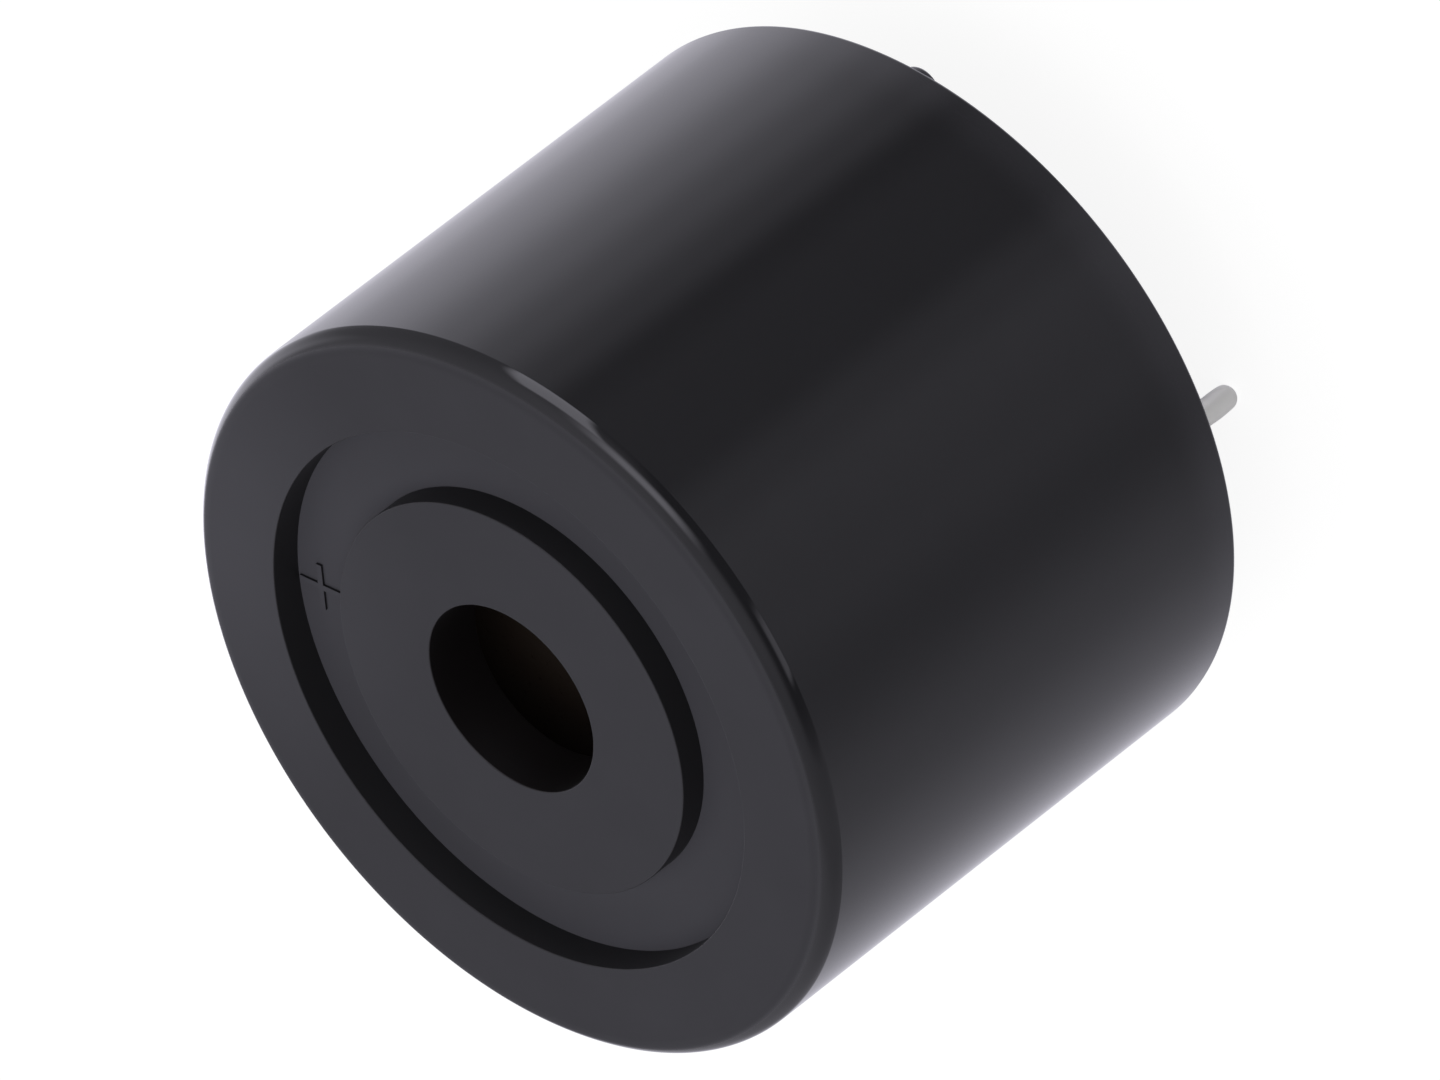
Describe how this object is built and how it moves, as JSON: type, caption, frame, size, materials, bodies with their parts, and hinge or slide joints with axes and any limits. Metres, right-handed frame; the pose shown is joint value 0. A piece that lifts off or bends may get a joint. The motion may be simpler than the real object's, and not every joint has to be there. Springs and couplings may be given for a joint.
{
  "type": "piezo buzzer",
  "caption": "Round board-mounted sounder: black moulded cup with a central sound port and ring groove in its face, potted back, and round terminal pins.",
  "frame": {"origin": "middle of the plane that the ends of the two feet stand on, midway between the two pins, which is the surface of the circuit board it is mounted on", "axes": "+Z along the body's axis, away from the circuit board and out of the sound port; +X towards the positive pin, on the side of the plus mark; the feet lie within 3 degrees of the Y axis"},
  "size_m": [0.024, 0.024, 0.0234],
  "materials": {
    "housing_plastic": "moulded black, semi-gloss",
    "brass_plate": "rolled, slightly dull",
    "piezo_ceramic": "fired ceramic, matt",
    "silver_film": "fired silver, matt",
    "silicone": "cured sealant, soft sheen",
    "solder": "solidified, satin",
    "red_insulation": "extruded, satin",
    "blue_insulation": "extruded, satin",
    "black_insulation": "extruded, satin",
    "board_laminate": "paper laminate, matt",
    "copper": "etched copper, satin",
    "moulding_compound": "moulded, matt",
    "tinned_wire": "tinned, satin",
    "ferrite": "sintered, matt",
    "enamelled_wire": "enamelled copper, glossy",
    "resistor_coat": "dipped, satin",
    "diode_glass": "sealed glass, glossy",
    "capacitor_coat": "dipped, glossy",
    "potting_resin": "cast resin, satin",
    "tinned_pin": "tin plated, satin"
  },
  "bodies": {
    "root": {"housing": "housing_plastic", "diaphragm_plate": "brass_plate", "piezo_ceramic": "piezo_ceramic", "main_electrode": "silver_film", "feedback_electrode": "silver_film", "sealant_bead": "silicone", "sounder_solder": "solder", "main_wire": "red_insulation", "feedback_wire": "blue_insulation", "ground_wire": "black_insulation", "driver_board": "board_laminate", "copper_tracks": "copper", "transistor": "moulding_compound", "transistor_legs": "tinned_wire", "coil_core": "ferrite", "coil_winding": "enamelled_wire", "coil_legs": "tinned_wire", "bias_resistor": "resistor_coat", "feedback_resistor": "resistor_coat", "load_resistor": "resistor_coat", "resistor_leads": "tinned_wire", "diode": "diode_glass", "diode_leads": "tinned_wire", "capacitor": "capacitor_coat", "capacitor_legs": "tinned_wire", "board_solder": "solder", "potting": "potting_resin", "positive_pin": "tinned_pin", "negative_pin": "tinned_pin"}
  },
  "joints": []
}
